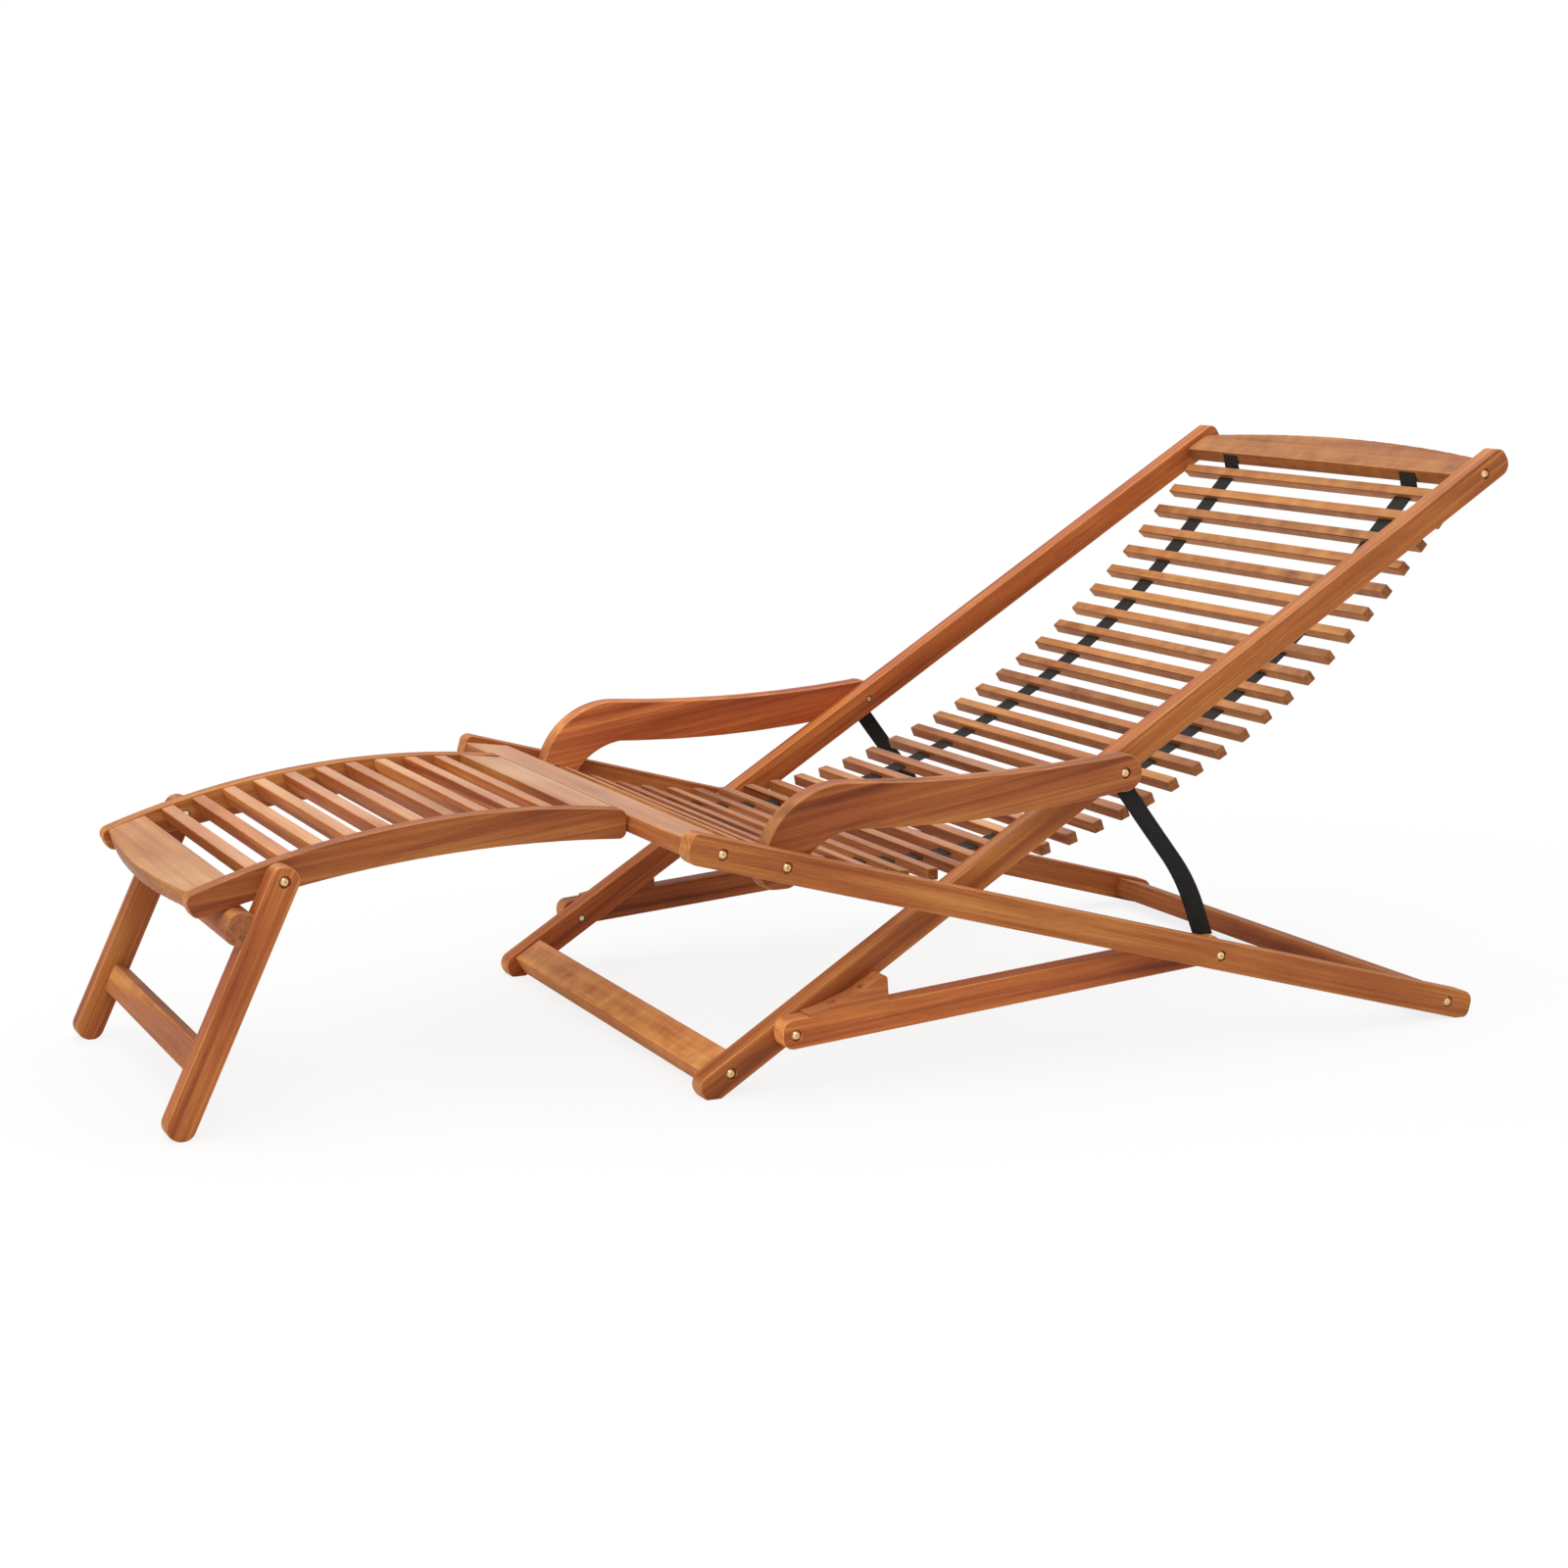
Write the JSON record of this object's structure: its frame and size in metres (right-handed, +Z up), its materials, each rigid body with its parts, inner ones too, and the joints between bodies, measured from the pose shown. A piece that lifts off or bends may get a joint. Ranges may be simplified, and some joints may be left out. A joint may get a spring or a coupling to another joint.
{
  "type": "steamer deck chair",
  "caption": "Folding hardwood steamer deck chair with a slatted webbing sling, curved armrests and a lift-off footrest on folding legs.",
  "frame": {"origin": "on the floor under the middle of the chair's box", "axes": "+X towards the head end, +Y towards the sitter's left, +Z up"},
  "size_m": [1.5143, 0.7, 0.6357],
  "materials": {
    "frame_wood": "oiled hardwood, satin",
    "slat_wood": "oiled hardwood, satin",
    "webbing": "woven strap, matt",
    "fastener": "yellow plated, satin"
  },
  "bodies": {
    "back_frame": {"back_rail_left": "frame_wood", "back_rail_right": "frame_wood", "lower_crossbar": "frame_wood", "headrest": "slat_wood", "back_frame_bolts": "fastener"},
    "arms": {"armrest_left": "frame_wood", "armrest_right": "frame_wood", "arm_pivot_bolts": "fastener", "arm_pivot_nuts": "fastener", "side_strap_left": "webbing", "side_strap_right": "webbing"},
    "seat_frame": {"seat_rail_left": "frame_wood", "seat_rail_right": "frame_wood", "seat_plank": "slat_wood", "rear_crossbar": "frame_wood", "seat_frame_bolts": "fastener", "strut_pivot_bolts": "fastener"},
    "struts": {"strut_left": "frame_wood", "strut_right": "frame_wood", "stop_block_left": "frame_wood", "stop_block_right": "frame_wood", "stop_block_screws": "fastener", "strut_front_bolts": "fastener", "strut_pivot_nuts": "fastener", "strut_pivot_studs": "fastener"},
    "sling_seat": {"sling_seat_slats": "slat_wood", "sling_seat_webbing": "webbing"},
    "sling_back": {"sling_back_slats": "slat_wood", "sling_back_webbing": "webbing"},
    "footrest": {"footrest_rail_left": "frame_wood", "footrest_rail_right": "frame_wood", "footrest_front_plank": "slat_wood", "footrest_rear_plank": "slat_wood", "locating_pins": "fastener", "footrest_slat_01": "slat_wood", "footrest_slat_02": "slat_wood", "footrest_slat_03": "slat_wood", "footrest_slat_04": "slat_wood", "footrest_slat_05": "slat_wood", "footrest_slat_06": "slat_wood", "footrest_slat_07": "slat_wood", "footrest_slat_08": "slat_wood", "footrest_slat_09": "slat_wood", "footrest_slat_10": "slat_wood"},
    "legs": {"footrest_leg_left": "frame_wood", "footrest_leg_right": "frame_wood", "leg_crossbar": "frame_wood", "leg_stop_bar": "frame_wood", "stop_bar_screws": "fastener", "leg_pivot_bolts": "fastener", "leg_pivot_nuts": "fastener"}
  },
  "joints": [
    {"name": "fold", "type": "hinge", "parent": "back_frame", "child": "arms", "pos_m": [0.24786, 0, 0.30676], "axis": [0, 1, 0], "range_deg": [0, 15], "deforming": ["side_strap_left", "side_strap_right"]},
    {"name": "seat_fold", "type": "hinge", "parent": "arms", "child": "seat_frame", "pos_m": [-0.15901, 0, 0.2436], "axis": [0, 1, 0], "range_deg": [-12.5, 0.1]},
    {"name": "strut_fold", "type": "hinge", "parent": "back_frame", "child": "struts", "pos_m": [-0.13698, 0, 0.06328], "axis": [0, 1, 0], "range_deg": [-9.8, 0.1]},
    {"name": "sling_seat_swing", "type": "hinge", "parent": "seat_frame", "child": "sling_seat", "pos_m": [-0.21201, 0, 0.26421], "axis": [0, 1, 0], "range_deg": [-0.1, 8.2]},
    {"name": "sling_back_swing", "type": "hinge", "parent": "back_frame", "child": "sling_back", "pos_m": [0.70771, 0, 0.60302], "axis": [0, 1, 0], "range_deg": [-0.1, 2.3]},
    {"name": "footrest_lift_off", "type": "slide", "parent": "seat_frame", "child": "footrest", "axis": [-1, 0, 0], "range_m": [0, 0.06]},
    {"name": "leg_fold", "type": "hinge", "parent": "footrest", "child": "legs", "pos_m": [-0.63446, 0, 0.2461], "axis": [0, -1, 0], "range_deg": [0, 110]}
  ],
  "couplings": [
    {"joint": "seat_fold", "follows": "fold", "ratio": -0.8128},
    {"joint": "strut_fold", "follows": "fold", "ratio": -0.6382},
    {"joint": "sling_seat_swing", "follows": "fold", "ratio": 0.5286},
    {"joint": "sling_back_swing", "follows": "fold", "ratio": 0.1404}
  ]
}
